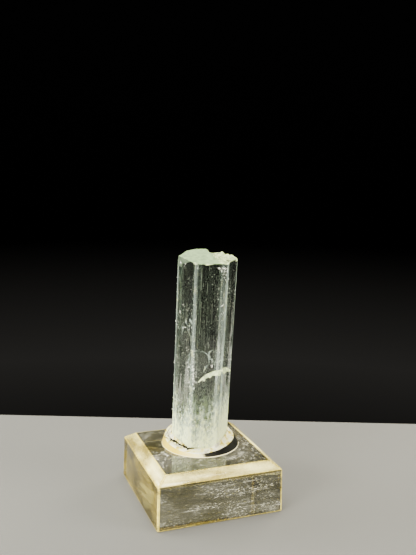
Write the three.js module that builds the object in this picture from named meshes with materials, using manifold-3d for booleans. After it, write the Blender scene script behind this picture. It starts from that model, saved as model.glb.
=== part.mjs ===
// An aquamarine crystal glued upright on a small clear acrylic display block.
// Millimetres, +Z up. The origin is the centre of the block's underside.
import * as THREE from 'three';
import { mergeVertices } from 'three/addons/utils/BufferGeometryUtils.js';
import Module from 'manifold-3d';

const wasm = await Module();
wasm.setup();

// The block is cast with a little draft, so its underside is its widest part.
const base = {
  width: 31.75,
  height: 12.5,
  draftDegrees: 1,
  bevelRun: 2.5,
  bevelDrop: 1.8,
  cornerRadius: 0.4,
  cornerSteps: 1,
};

// The pad's top is a plane square to the crystal, so the pad is a wedge: thin in front, thick behind.
// The collar is the glue that creeps up round the crystal's foot.
const pad = {
  centre: new THREE.Vector2(0.9, 2.2),
  bottomRadius: 9.75,
  rimHeight: 0.35,
  rimRun: 0.1,
  topRadius: 8.6,
  wallHeight: 4.2,
  collarRise: 0.9,
  collarBottomRadius: 8.5,
  collarMiddleRadius: 7.65,
  collarMiddleRise: 0.27,
  collarTopRadius: 7.3,
};

const crystal = {
  foot: new THREE.Vector3(0.7, 2.3, 14.4),
  leanForwardDegrees: 8.5,
  leanLeftDegrees: 1.7,
  turnDegrees: -10.4,
  cornerRadius: 7.17,
  footDepth: 0.15,
  length: 47.8,
};

// Narrow second-order prism faces cut the six edges of the hexagon, each by its own width.
const edgeFaceWidths = [0.35, 0.6, 0.3, 0.5, 1.25, 0.7];

// Growth steps run the length of each prism face: where each starts and ends across the face, and its depth.
const growthSteps = [
  [{ from: 0.2, to: 0.34, depth: 0.07 }, { from: 0.55, to: 0.83, depth: 0.1 }],
  [{ from: 0.12, to: 0.4, depth: 0.08 }, { from: 0.66, to: 0.78, depth: 0.06 }],
  [{ from: 0.3, to: 0.48, depth: 0.1 }, { from: 0.7, to: 0.9, depth: 0.06 }],
  [{ from: 0.16, to: 0.3, depth: 0.06 }, { from: 0.52, to: 0.74, depth: 0.09 }],
  [{ from: 0.1, to: 0.22, depth: 0.06 }, { from: 0.76, to: 0.88, depth: 0.08 }],
  [{ from: 0.25, to: 0.45, depth: 0.08 }, { from: 0.68, to: 0.8, depth: 0.05 }],
];

// Conchoidal chips on the termination: centre and half-axes of each scoop, in the crystal's own frame.
const chips = [
  { centre: [3.3, 5.6, 49.3], halfAxes: [3.1, 3.2, 2.7] },
  { centre: [6.0, 2.2, 49.6], halfAxes: [2.6, 3.0, 2.2] },
  { centre: [7.0, -0.6, 48.9], halfAxes: [1.6, 2.2, 2.2] },
  { centre: [4.9, -3.0, 48.35], halfAxes: [2.0, 2.3, 0.9] },
  { centre: [-0.92, -7.18, 48.6], halfAxes: [2.5, 1.5, 1.6] },
  { centre: [-4.07, -5.53, 48.7], halfAxes: [1.5, 1.3, 1.3] },
  { centre: [-7.12, -2.22, 30.5], halfAxes: [0.55, 0.5, 1.1] },
  { centre: [7.38, -0.07, 18.2], halfAxes: [0.4, 0.5, 0.7] },
];

// Steep flat faces take off two corners of the termination: the left one, and the back left one.
const cornerFaces = [
  { point: new THREE.Vector3(-7.17, 0, 45.4), slopeDegrees: 79, headingDegrees: 205 },
  { point: new THREE.Vector3(-3.15, 5.46, 47.6), slopeDegrees: 60, headingDegrees: 120 },
];

// A flake has come off the two faces nearest the front edge. It ends below in an arched ledge.
// The scar is a shallow round hollow in each face, which runs out upwards and sideways.
const flake = {
  topHeight: 36,
  hollowRadius: 19,
  hollowSegments: 144,
  riseSlope: 0.03,
  thickness: 3,
  halfWidth: 5.2,
  archPoints: 12,
};
const flakeFaces = [
  { face: 4, depth: 0.42, middle: 1.5, ledgeHeight: 20.5, archRadius: 7.2, archCentre: 3.6 },
  { face: 5, depth: 0.45, middle: -0.3, ledgeHeight: 20.5, archRadius: 11.8, archCentre: -4.5 },
];

// Glued pieces stand this far apart.
const gap = 0.3;
const sides = 6;

function solidFrom(geometry) {
  const bare = geometry.clone();
  bare.deleteAttribute('normal');
  bare.deleteAttribute('uv');
  const merged = mergeVertices(bare, 1e-4);
  return new wasm.Manifold(new wasm.Mesh({
    numProp: 3,
    vertProperties: new Float32Array(merged.attributes.position.array),
    triVerts: new Uint32Array(merged.index.array),
  }));
}

function geometryFrom(solid) {
  const mesh = solid.getMesh();
  const geometry = new THREE.BufferGeometry();
  geometry.setAttribute('position', new THREE.BufferAttribute(new Float32Array(mesh.vertProperties), 3));
  geometry.setIndex(new THREE.BufferAttribute(new Uint32Array(mesh.triVerts), 1));
  const flat = geometry.toNonIndexed();
  flat.computeVertexNormals();
  return flat;
}

// A big box whose one face lies in the plane through point, on the side that normal points to.
function halfSpace(point, normal, size = 80) {
  const geometry = new THREE.BoxGeometry(size, size, size);
  geometry.translate(0, 0, size / 2);
  const up = new THREE.Vector3(0, 0, 1);
  geometry.applyQuaternion(new THREE.Quaternion().setFromUnitVectors(up, normal.clone().normalize()));
  geometry.translate(point.x, point.y, point.z);
  return solidFrom(geometry);
}

function onCircle(radius, degrees) {
  const angle = THREE.MathUtils.degToRad(degrees);
  return new THREE.Vector2(radius * Math.cos(angle), radius * Math.sin(angle));
}

// The acrylic base.

function roundedSquare(width, radius) {
  const half = width / 2;
  const shape = new THREE.Shape();
  shape.moveTo(half, radius - half);
  shape.lineTo(half, half - radius);
  shape.absarc(half - radius, half - radius, radius, 0, Math.PI / 2);
  shape.lineTo(radius - half, half);
  shape.absarc(radius - half, half - radius, radius, Math.PI / 2, Math.PI);
  shape.lineTo(-half, radius - half);
  shape.absarc(radius - half, radius - half, radius, Math.PI, 1.5 * Math.PI);
  shape.lineTo(half - radius, -half);
  shape.absarc(half - radius, radius - half, radius, 1.5 * Math.PI, 2 * Math.PI);
  return shape;
}

function makeBase() {
  const { width, height, draftDegrees, bevelRun, bevelDrop, cornerRadius, cornerSteps } = base;
  const sideHeight = height - bevelDrop;
  const draft = sideHeight * Math.tan(THREE.MathUtils.degToRad(draftDegrees));
  const toCorner = Math.SQRT1_2 * width;
  const profile = [
    new THREE.Vector2(0, 0),
    new THREE.Vector2(toCorner, 0),
    new THREE.Vector2(toCorner - Math.SQRT2 * draft, sideHeight),
    new THREE.Vector2(toCorner - Math.SQRT2 * (draft + bevelRun), height),
    new THREE.Vector2(0, height),
  ];
  const tapered = new THREE.LatheGeometry(profile, 4, Math.PI / 4);
  tapered.rotateX(Math.PI / 2);
  const spare = 1;
  const prism = new THREE.ExtrudeGeometry(roundedSquare(width, cornerRadius), {
    depth: height + 2 * spare,
    bevelEnabled: false,
    curveSegments: cornerSteps,
  });
  prism.translate(0, 0, -spare);
  return solidFrom(tapered).intersect(solidFrom(prism));
}

// The aquamarine crystal.

// The prism's outline, counter-clockwise: the edge faces, and the growth steps across each main face.
function crystalOutline(grow = 0) {
  const corners = [];
  for (let i = 0; i < sides; i += 1) {
    corners.push(onCircle(crystal.cornerRadius + grow / Math.cos(Math.PI / 6), 60 * i));
  }
  const points = [];
  corners.forEach((corner, i) => {
    const next = corners[(i + 1) % sides];
    const along = next.clone().sub(corner).normalize();
    const inward = new THREE.Vector2(-along.y, along.x);
    const start = corner.clone().addScaledVector(along, edgeFaceWidths[i] / Math.sqrt(3));
    const end = next.clone().addScaledVector(along, -edgeFaceWidths[(i + 1) % sides] / Math.sqrt(3));
    const width = start.distanceTo(end);
    points.push(start.clone());
    if (grow === 0) {
      growthSteps[i].forEach(({ from, to, depth }) => {
        const near = start.clone().addScaledVector(along, from * width);
        const far = start.clone().addScaledVector(along, to * width);
        points.push(near.clone());
        points.push(near.clone().addScaledVector(inward, depth).addScaledVector(along, depth));
        points.push(far.clone().addScaledVector(inward, depth).addScaledVector(along, -depth));
        points.push(far.clone());
      });
    }
    points.push(end.clone());
  });
  return new THREE.Shape(points);
}

function makeScoop({ centre, halfAxes }) {
  const geometry = new THREE.IcosahedronGeometry(1, 3);
  geometry.scale(...halfAxes);
  geometry.translate(...centre);
  return solidFrom(geometry);
}

// The air over one face of the flake scar, with an arched lower side that leaves the ledge standing.
function makeFlake({ face, depth, middle, ledgeHeight, archRadius, archCentre }) {
  const { topHeight, hollowRadius, hollowSegments, riseSlope, thickness, halfWidth, archPoints } = flake;
  const height = topHeight - ledgeHeight;
  const outline = [];
  for (let i = 0; i <= archPoints; i += 1) {
    const across = -halfWidth + (2 * halfWidth * i) / archPoints;
    const fromCentre = Math.min(Math.abs(across - archCentre), archRadius);
    const drop = archRadius - Math.sqrt(archRadius ** 2 - fromCentre ** 2);
    outline.push(new THREE.Vector2(across, -drop));
  }
  outline.push(new THREE.Vector2(halfWidth, height));
  outline.push(new THREE.Vector2(-halfWidth, height));
  const arched = new THREE.ExtrudeGeometry(new THREE.Shape(outline), {
    depth: 2 * thickness,
    bevelEnabled: false,
  });
  arched.translate(0, 0, -thickness);
  const hollow = new THREE.CylinderGeometry(hollowRadius, hollowRadius, 3 * height, hollowSegments);
  hollow.translate(middle, 0, hollowRadius - depth);
  hollow.rotateX(Math.asin(riseSlope));
  const angle = THREE.MathUtils.degToRad(60 * face + 30);
  const outward = new THREE.Vector3(Math.cos(angle), Math.sin(angle), 0);
  const up = new THREE.Vector3(0, 0, 1);
  const across = up.clone().cross(outward);
  const toFace = crystal.cornerRadius * Math.cos(Math.PI / sides);
  const place = new THREE.Matrix4().makeBasis(across, up, outward);
  place.setPosition(outward.clone().multiplyScalar(toFace).setZ(ledgeHeight));
  arched.applyMatrix4(place);
  hollow.applyMatrix4(place);
  return solidFrom(arched).intersect(solidFrom(hollow));
}

function makeCrystal() {
  const { length, footDepth } = crystal;
  const prism = new THREE.ExtrudeGeometry(crystalOutline(), {
    depth: length + footDepth,
    bevelEnabled: false,
  });
  prism.translate(0, 0, -footDepth);
  let solid = solidFrom(prism);
  cornerFaces.forEach(({ point, slopeDegrees, headingDegrees }) => {
    const slope = THREE.MathUtils.degToRad(slopeDegrees);
    const heading = onCircle(Math.sin(slope), headingDegrees);
    solid = solid.subtract(halfSpace(point, new THREE.Vector3(heading.x, heading.y, Math.cos(slope))));
  });
  chips.forEach((chip) => {
    solid = solid.subtract(makeScoop(chip));
  });
  flakeFaces.forEach((face) => {
    solid = solid.subtract(makeFlake(face));
  });
  return solid;
}

// The glue pad.

function lathe(points, segments = 72) {
  const geometry = new THREE.LatheGeometry(points.map(([x, y]) => new THREE.Vector2(x, y)), segments);
  geometry.rotateX(Math.PI / 2);
  return geometry;
}

// The crystal's own frame, as a matrix from it to the object's frame.
function crystalFrame() {
  const forward = Math.tan(THREE.MathUtils.degToRad(crystal.leanForwardDegrees));
  const left = Math.tan(THREE.MathUtils.degToRad(crystal.leanLeftDegrees));
  const axis = new THREE.Vector3(-left, -forward, 1).normalize();
  const lean = new THREE.Quaternion().setFromUnitVectors(new THREE.Vector3(0, 0, 1), axis);
  const turn = new THREE.Quaternion().setFromAxisAngle(
    new THREE.Vector3(0, 0, 1),
    THREE.MathUtils.degToRad(crystal.turnDegrees),
  );
  return new THREE.Matrix4().compose(crystal.foot, lean.multiply(turn), new THREE.Vector3(1, 1, 1));
}

function makePad(frame) {
  const axis = new THREE.Vector3(0, 0, 1).transformDirection(frame);
  const wall = lathe([
    [0, 0],
    [pad.bottomRadius, 0],
    [pad.bottomRadius - pad.rimRun, pad.rimHeight],
    [pad.topRadius, pad.wallHeight],
    [0, pad.wallHeight],
  ]);
  wall.translate(pad.centre.x, pad.centre.y, base.height);
  const root = -1;
  const collar = lathe([
    [0, root],
    [pad.collarBottomRadius, root],
    [pad.collarBottomRadius, 0],
    [pad.collarMiddleRadius, pad.collarMiddleRise],
    [pad.collarTopRadius, pad.collarRise],
    [0, pad.collarRise],
  ]);
  collar.applyMatrix4(frame);
  const socketHeight = pad.wallHeight + pad.collarRise;
  const socket = new THREE.ExtrudeGeometry(crystalOutline(gap), { depth: socketHeight, bevelEnabled: false });
  socket.translate(0, 0, -crystal.footDepth - gap);
  socket.applyMatrix4(frame);
  const floor = halfSpace(new THREE.Vector3(0, 0, base.height), new THREE.Vector3(0, 0, -1));
  return solidFrom(wall)
    .subtract(halfSpace(crystal.foot, axis))
    .add(solidFrom(collar).subtract(floor))
    .subtract(solidFrom(socket));
}

// The assembly.

const aquamarine = new THREE.MeshStandardMaterial({ color: 0xcfdccb, roughness: 0.06, metalness: 0 });
const glue = new THREE.MeshStandardMaterial({ color: 0xf1ecd2, roughness: 0.3, metalness: 0 });
const acrylic = new THREE.MeshStandardMaterial({ color: 0xd9d3a8, roughness: 0.08, metalness: 0 });

function pieceOf(name, solid, material) {
  const mesh = new THREE.Mesh(geometryFrom(solid), material);
  mesh.name = name;
  return mesh;
}

const specimen = new THREE.Group();
const frame = crystalFrame();

const leaning = new THREE.Group();
frame.decompose(leaning.position, leaning.quaternion, leaning.scale);
leaning.add(pieceOf('aquamarine_crystal', makeCrystal(), aquamarine));

specimen.add(leaning);
specimen.add(pieceOf('glue_pad', makePad(frame), glue));
specimen.add(pieceOf('acrylic_base', makeBase(), acrylic));

export default specimen;
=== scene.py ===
import math
import random
from functools import partial

import bmesh
import bpy
import numpy as np
from mathutils import Matrix, Vector, noise


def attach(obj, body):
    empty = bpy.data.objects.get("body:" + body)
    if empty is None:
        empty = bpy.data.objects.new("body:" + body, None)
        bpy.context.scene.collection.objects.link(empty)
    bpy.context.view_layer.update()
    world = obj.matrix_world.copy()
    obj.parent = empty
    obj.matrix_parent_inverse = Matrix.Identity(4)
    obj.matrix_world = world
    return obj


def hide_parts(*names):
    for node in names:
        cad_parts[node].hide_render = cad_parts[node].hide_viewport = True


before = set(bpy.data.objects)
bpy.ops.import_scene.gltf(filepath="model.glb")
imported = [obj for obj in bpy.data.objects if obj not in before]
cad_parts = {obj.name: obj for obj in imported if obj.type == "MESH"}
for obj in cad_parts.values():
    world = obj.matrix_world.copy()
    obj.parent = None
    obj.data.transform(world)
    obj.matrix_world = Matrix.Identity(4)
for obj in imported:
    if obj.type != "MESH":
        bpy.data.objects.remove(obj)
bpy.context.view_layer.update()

mm = 0.001
print("frame loaded")


def hexColour(code):
    # sRGB hex to the linear values that Blender works in
    parts = [int(code[i:i + 2], 16) / 255 for i in (1, 3, 5)]
    linear = [p / 12.92 if p <= 0.04045 else ((p + 0.055) / 1.055) ** 2.4 for p in parts]
    return (*linear, 1.0)


def addNode(tree, kind, settings=None, links=None):
    # kind: the node's, with a maths node's operation after a dot; settings: attribute or input to its value
    # links: input to a node's first output, or to one socket
    # inputs 1 to 4 of a Map Range are from low, from high, to low, to high; a colour Mix has 0, 6 and 7
    kind, _, operation = kind.partition(".")
    node = tree.nodes.new("ShaderNode" + kind)
    if operation:
        node.operation = operation
    for name, value in (settings or {}).items():
        if isinstance(name, int) or name in node.inputs:
            node.inputs[name].default_value = value
        else:
            setattr(node, name, value)
    for name, source in (links or {}).items():
        socket = source.outputs[0] if isinstance(source, bpy.types.Node) else source
        tree.links.new(socket, node.inputs[name])
    return node


def newMaterial(name):
    material = bpy.data.materials.new(name)
    material.use_nodes = True
    material.node_tree.nodes.clear()
    return material, partial(addNode, material.node_tree)


def setRamp(node, stops):
    ramp = node.color_ramp
    while len(ramp.elements) < len(stops):
        ramp.elements.new(0.5)
    for element, (place, colour) in zip(ramp.elements, stops):
        element.position = place
        element.color = colour if isinstance(colour, tuple) else hexColour(colour)


def leaveEdit():
    bpy.ops.object.mode_set(mode="OBJECT")


def startFresh():
    if bpy.context.object and bpy.context.object.mode != "OBJECT":
        leaveEdit()
    bpy.ops.object.select_all(action="DESELECT")


def pick(piece):
    startFresh()
    piece.select_set(True)
    bpy.context.view_layer.objects.active = piece


def edit(piece, mode="FACE"):
    pick(piece)
    bpy.ops.object.mode_set(mode="EDIT")
    bpy.ops.mesh.select_mode(type=mode)
    bpy.ops.mesh.select_all(action="DESELECT")


def selectAll():
    bpy.ops.mesh.select_all(action="SELECT")


def resizeLevel(factor):
    bpy.ops.transform.resize(value=(factor, factor, 1), center_override=(0, 0, 0))


def assignSlot(piece, slot):
    # in edit mode: gives the chosen faces one of the piece's materials, and leaves edit mode
    piece.active_material_index = slot
    bpy.ops.object.material_slot_assign()
    leaveEdit()


def applyPlace():
    # puts the active piece's place, turn and scale into its mesh
    bpy.ops.object.transform_apply(location=True, rotation=True, scale=True)


def nameNew(name):
    piece = bpy.context.object
    piece.name = name
    piece.data.name = name
    return piece


def applyModifier(piece, kind, name, **settings):
    pick(piece)
    modifier = piece.modifiers.new(name, kind)
    for key, value in settings.items():
        setattr(modifier, key, value)
    bpy.ops.object.modifier_apply(modifier=modifier.name)


def selectFaces(piece, test):
    # in edit mode: selects the faces for which test(face) holds
    mesh = bmesh.from_edit_mesh(piece.data)
    for face in mesh.faces:
        face.select_set(False)
    for face in mesh.faces:
        if test(face):
            face.select_set(True)
    mesh.select_flush_mode()
    bmesh.update_edit_mesh(piece.data)


def selectEdges(piece, test):
    mesh = bmesh.from_edit_mesh(piece.data)
    for edge in mesh.edges:
        edge.select_set(False)
    for edge in mesh.edges:
        if test(edge.verts[0].co, edge.verts[1].co):
            edge.select_set(True)
    bmesh.update_edit_mesh(piece.data)


def displace(piece, strength, scale, depth=2):
    texture = bpy.data.textures.new("relief", "CLOUDS")
    texture.noise_scale = scale * mm
    texture.noise_depth = depth
    applyModifier(piece, "DISPLACE", "relief", texture=texture, strength=strength * mm, mid_level=0.5)
    bpy.data.textures.remove(texture)


def cutAway(piece, cutter):
    applyModifier(piece, "BOOLEAN", "cut", object=cutter, operation="DIFFERENCE", solver="EXACT",
                  material_mode="TRANSFER")
    bpy.data.objects.remove(cutter)


def joinCopies(name, pattern, places, material):
    # one mesh with a copy of the pattern at each place, then the pattern is thrown away
    points = np.array([(*v.co, 1.0) for v in pattern.data.vertices])
    faces = [list(p.vertices) for p in pattern.data.polygons]
    bpy.data.objects.remove(pattern)
    stack = np.array([np.array(place)[:3] for place in places])
    vertices = np.einsum("nij,vj->nvi", stack, points).reshape(-1, 3)
    polygons = [[i + len(points) * k for i in face] for k in range(len(places)) for face in faces]
    mesh = bpy.data.meshes.new(name)
    mesh.from_pydata(vertices.tolist(), [], polygons)
    piece = bpy.data.objects.new(name, mesh)
    bpy.context.scene.collection.objects.link(piece)
    mesh.materials.append(material)
    return piece


def hand(piece, slot, *nodes):
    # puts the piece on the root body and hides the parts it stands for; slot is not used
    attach(piece, "root")
    if nodes:
        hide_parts(*nodes)


cameraSet = {
    "place": (-59.45, -157.66, 84.89),  # mm
    "heading": 21.05,  # degrees from +Y towards +X
    "pitch": 9.82,
    "roll": 1.28,
    "lens": 45.7,
    "sensor": 36,  # mm
    "nearest": 5,
}


def makeCamera():
    heading, pitch, roll = (math.radians(cameraSet[k]) for k in ("heading", "pitch", "roll"))
    forward = Vector((
        math.sin(heading) * math.cos(pitch),
        math.cos(heading) * math.cos(pitch),
        -math.sin(pitch),
    ))
    level = Vector((math.cos(heading), -math.sin(heading), 0))
    up = level.cross(forward)
    right = level * math.cos(roll) + up * math.sin(roll)
    up = right.cross(forward)
    bpy.ops.object.camera_add()
    camera = bpy.context.object
    turn = Matrix((right, up, -forward)).transposed()
    camera.matrix_world = Matrix.Translation(Vector(cameraSet["place"]) * mm) @ turn.to_4x4()
    camera.data.lens = cameraSet["lens"]
    camera.data.sensor_width = cameraSet["sensor"]
    camera.data.clip_start = cameraSet["nearest"] * mm
    bpy.context.scene.camera = camera


makeCamera()
print("camera placed")


# the crystal is shaped standing upright on the origin, then put in its leaning place

crystal = {
    "foot": (0.7, 2.3, 14.4),  # mm, where the axis meets the pad
    "leanForward": 8.5,  # degrees towards -Y
    "leanLeft": 1.7,  # degrees towards -X
    "turn": -10.4,  # degrees about its own axis
    "cornerRadius": 7.17,
    "length": 47.7,
    "footDepth": 0.15,
    "spare": 3,  # how far the blank runs past both ends, which are cut off once the faces are done
    "edgeFaces": (0.35, 0.6, 0.3, 0.5, 1.25, 0.7),  # the narrow faces on the six edges, right one first
    "cornerFaces": (  # a point of each, how steep it is and which way it looks, in degrees
        ((-7.17, 0, 45.5), 78.5, 206),
        ((-3.15, 5.46, 47.6), 60, 120),
    ),
}
toFace = crystal["cornerRadius"] * math.cos(math.radians(30))
faceHalf = crystal["cornerRadius"] / 2


def crystalFrame():
    forward = math.tan(math.radians(crystal["leanForward"]))
    left = math.tan(math.radians(crystal["leanLeft"]))
    axis = Vector((-left, -forward, 1)).normalized()
    lean = Vector((0, 0, 1)).rotation_difference(axis).to_matrix().to_4x4()
    turn = Matrix.Rotation(math.radians(crystal["turn"]), 4, "Z")
    return Matrix.Translation(Vector(crystal["foot"]) * mm) @ lean @ turn


crystalMatrix = crystalFrame()
toCrystal = crystalMatrix.inverted()


def settle(piece):
    # puts a finished piece in the leaning place and leaves that place in its mesh
    pick(piece)
    piece.matrix_world = crystalMatrix
    applyPlace()


def direction(degrees):
    angle = math.radians(degrees)
    return Vector((math.cos(angle), math.sin(angle), 0))


def faceAxes(i):
    # outward normal of prism face i, and the direction across it
    return direction(60 * i + 30), direction(60 * i + 120)


striae = {
    "perFace": 8,
    "width": (0.16, 0.85),  # mm
    "depth": (0.02, 0.08),
    "between": (0.1, 0.6),
    "margin": 0.1,  # left clear beside the edge faces
    "firstAt": (0.1, 0.4),
    "past": (-3, 60),  # heights below and above the crystal, for a step that runs right through
    "startsAt": (5, 30),
    "runsFor": (8, 25),
    "levels": 46,
    "levelsPast": 2,  # how far the levels go beyond both ends
    "sway": 0.03,  # how far a face wanders from flat
    "swayScale": 4.0,
}


def addPrism():
    bpy.ops.mesh.primitive_cylinder_add(
        vertices=6,
        radius=crystal["cornerRadius"] * mm,
        depth=(crystal["length"] + 2 * crystal["spare"]) * mm,
        location=(0, 0, crystal["length"] / 2 * mm),
        rotation=(0, 0, math.radians(30)),
    )
    piece = nameNew("aquamarineCrystal")
    applyPlace()
    edit(piece, "EDGE")
    for i, width in enumerate(crystal["edgeFaces"]):
        corner = direction(60 * i) * crystal["cornerRadius"] * mm
        selectEdges(piece, lambda a, b: all((end.xy - corner.xy).length < 0.05 * mm for end in (a, b)))
        bpy.ops.mesh.bevel(offset=width * mm, offset_type="WIDTH", segments=1)
    leaveEdit()
    return piece


def cutLevels(piece, draw):
    # cuts round the prism that let the sway bend its long faces
    edit(piece)
    past = striae["levelsPast"]
    step = (crystal["length"] + 2 * past) / striae["levels"]
    for k in range(striae["levels"]):
        height = (-past + (k + draw.uniform(0.2, 0.8)) * step) * mm
        selectAll()
        bpy.ops.mesh.bisect(plane_co=(0, 0, height), plane_no=(0, 0, 1))
    leaveEdit()


def cutStriae(piece, draw):
    # long shallow steps beside each other: their four lines are cut, then the middle strip is pushed in
    edit(piece)
    below, above = striae["past"]
    for i in range(6):
        outward, across = faceAxes(i)
        half = faceHalf - max(crystal["edgeFaces"][i], crystal["edgeFaces"][(i + 1) % 6]) / math.sqrt(3)
        place = -half + draw.uniform(*striae["firstAt"])
        for _ in range(striae["perFace"]):
            width = draw.uniform(*striae["width"])
            depth = draw.uniform(*striae["depth"])
            end = place + width + 2 * depth
            bottom = draw.choice((below, below, draw.uniform(*striae["startsAt"])))
            top = draw.choice((above, above, bottom + draw.uniform(*striae["runsFor"])))
            if end > half - striae["margin"]:
                break
            for line in (place, place + depth, end - depth, end):
                selectFaces(piece, lambda f: f.normal.dot(outward) > 0.9)
                bpy.ops.mesh.bisect(plane_co=across * line * mm, plane_no=across)
            low, high = (place + depth) * mm, (end - depth) * mm

            def inStrip(face):
                centre = face.calc_center_median()
                return (face.normal.dot(outward) > 0.9 and low < centre.dot(across) < high
                        and bottom * mm < centre.z < top * mm)

            selectFaces(piece, inStrip)
            bpy.ops.transform.translate(value=-outward * depth * mm)
            place = end + draw.uniform(*striae["between"])
    leaveEdit()


def cutEnd(piece, point, normal, mark=0):
    # takes off what lies beyond a plane, closes the cut and marks it with a material slot
    place = Vector(point) * mm
    way = Vector(normal)
    edit(piece)
    selectAll()
    bpy.ops.mesh.bisect(plane_co=place, plane_no=way, use_fill=True, clear_outer=True)
    selectFaces(piece, lambda f: f.normal.dot(way) > 0.99
                and abs((f.calc_center_median() - place).dot(way)) < 0.02 * mm)
    assignSlot(piece, mark)


def addSheet(name, columns, rows, size, smooth):
    # a grid to shape into a cutter; its second material marks what it breaks
    startFresh()
    bpy.ops.mesh.primitive_grid_add(x_subdivisions=columns, y_subdivisions=rows, size=size)
    sheet = nameNew(name)
    for material in (smooth, brokenMark):
        sheet.data.materials.append(material)
    return sheet


def closeCutter(cutter, lift):
    # turns a sheet that follows the wanted surface into a closed body above it, lift in mm
    edit(cutter)
    selectAll()
    bpy.ops.mesh.extrude_region_move(TRANSFORM_OT_translate={"value": (0, 0, lift * mm)})
    bpy.ops.transform.resize(value=(1, 1, 0))
    selectAll()
    bpy.ops.mesh.normals_make_consistent(inside=False)
    leaveEdit()


def rough(x, y, scale, seed):
    return noise.fractal(Vector((x / scale, y / scale, seed)), 0.7, 2.1, 4)


# a flake is off the two faces by the front edge, and ends below in an arched ledge

scar = {
    "topHeight": 36,  # mm up the crystal
    "below": 5,
    "reach": 5.2,  # across the face from its middle
    "curve": 19,  # radius of the hollow across the face
    "riseSlope": 0.03,
    "ledgeSlope": 3.6,  # mm down for each mm out
    "relief": 0.09,
    "reliefScale": 0.45,
    "calm": 0.25,  # share of the relief that the hollow itself has
    "roughening": 9,  # how fast the rest comes in as the ledge climbs
    "columns": 90,
    "faces": (  # the hollow's depth and middle, and the arch that ends it
        {"face": 4, "depth": 0.42, "middle": 1.5, "archTop": 21.05, "archRadius": 7.2, "archCentre": 3.6},
        {"face": 5, "depth": 0.45, "middle": -0.3, "archTop": 21.1, "archRadius": 11.8, "archCentre": -4.5},
    ),
}


def makeScarCutter(face, depth, middle, archTop, archRadius, archCentre):
    # worked out with +Z as the face's outward side and +Y up the crystal, from the ledge's highest point
    rows = 44
    ledgeRows = 34  # most of them, for the roughest part

    def archHeight(x):
        limit = 0.95 * archRadius  # short of where the arch turns upright
        offset = min(max(x - archCentre, -limit), limit)
        return math.sqrt(archRadius ** 2 - offset ** 2) - archRadius

    cutter = addSheet("scarCutter", scar["columns"], rows, 1, aquamarine)
    for vertex in cutter.data.vertices:
        x = vertex.co.x * 2 * scar["reach"]
        row = (vertex.co.y + 0.5) * rows
        arch = archHeight(x)
        hollow = -depth + (x - middle) ** 2 / (2 * scar["curve"])
        if row <= ledgeRows:
            y = arch - scar["below"] * (1 - row / ledgeRows)
        else:
            top = scar["topHeight"] - archTop
            y = arch + (top - arch) * (row - ledgeRows) / (rows - ledgeRows)
        climb = max(0, arch - y) / scar["ledgeSlope"]
        bumps = scar["relief"] * rough(x, y, scar["reliefScale"], face)
        bumps *= scar["calm"] + min(1, climb * scar["roughening"])
        vertex.co = Vector((x, y, hollow + climb + scar["riseSlope"] * max(0, y) + bumps)) * mm

    def onClimb(f):
        centre = f.calc_center_median()
        return centre.y < archHeight(centre.x / mm) * mm

    edit(cutter)
    selectFaces(cutter, onClimb)
    assignSlot(cutter, 1)
    closeCutter(cutter, lift=3)
    pick(cutter)
    outward, across = faceAxes(face)
    basis = Matrix((across, Vector((0, 0, 1)), outward)).transposed().to_4x4()
    cutter.matrix_world = Matrix.Translation((outward * toFace + Vector((0, 0, archTop))) * mm) @ basis
    applyPlace()
    return cutter


# the end of the crystal is flat and etched on the left, and broken and bumpy on the right

topEnd = {
    "breakBack": (0.9, 4.5),  # mm, where the break begins
    "breakFront": (1.9, -4.5),
    "edgeWander": 0.5,
    "edgeScale": 2.0,
    "edgeWidth": 0.45,
    "riseFrom": -4,  # the drop and the ridge grow from here towards the back
    "riseOver": 7,
    "dropBack": 1.0,
    "dropFront": 0.05,
    "ridge": ((4.4, 4.2), (5.3, 2.9), (5.9, 1.3), (6.5, -0.3)),
    "ridgeHeight": 0.75,
    "ridgeWidth": 0.8,
    "relief": 0.22,
    "reliefScale": 1.1,
    "pitRelief": 0.15,
    "pitScale": 0.42,
    "cells": 84,
    "sheet": 16.6,
}


def breakShare(x, y):
    # 0 on the flat part, 1 on the broken part, with an uneven line between
    (xb, yb), (xf, yf) = topEnd["breakBack"], topEnd["breakFront"]
    edge = xf + (xb - xf) * (y - yf) / (yb - yf)
    edge += topEnd["edgeWander"] * rough(x, y, topEnd["edgeScale"], 4)
    return min(1, max(0, (x - edge) / topEnd["edgeWidth"]))


def makeTopCutter():
    cutter = addSheet("topCutter", topEnd["cells"], topEnd["cells"], topEnd["sheet"] * mm, flatMark)
    for vertex in cutter.data.vertices:
        x, y = vertex.co.x / mm, vertex.co.y / mm
        back = min(1, max(0, (y - topEnd["riseFrom"]) / topEnd["riseOver"]))
        drop = topEnd["dropFront"] + (topEnd["dropBack"] - topEnd["dropFront"]) * back
        away = min(math.hypot(x - a, y - b) for a, b in topEnd["ridge"])
        ridge = topEnd["ridgeHeight"] * back * math.exp(-(away / topEnd["ridgeWidth"]) ** 2)
        bumps = topEnd["relief"] * rough(x, y, topEnd["reliefScale"], 7)
        bumps += topEnd["pitRelief"] * rough(x, y, topEnd["pitScale"], 8)
        vertex.co.z = (crystal["length"] - breakShare(x, y) * (drop - ridge - bumps)) * mm
    edit(cutter)
    selectFaces(cutter, lambda f: breakShare(*(f.calc_center_median().xy / mm)) > 0)
    assignSlot(cutter, 1)
    closeCutter(cutter, lift=4)
    return cutter


# chips: centre and half-axes of each hollow in mm, how bumpy it is, and whether it is frosted

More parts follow.
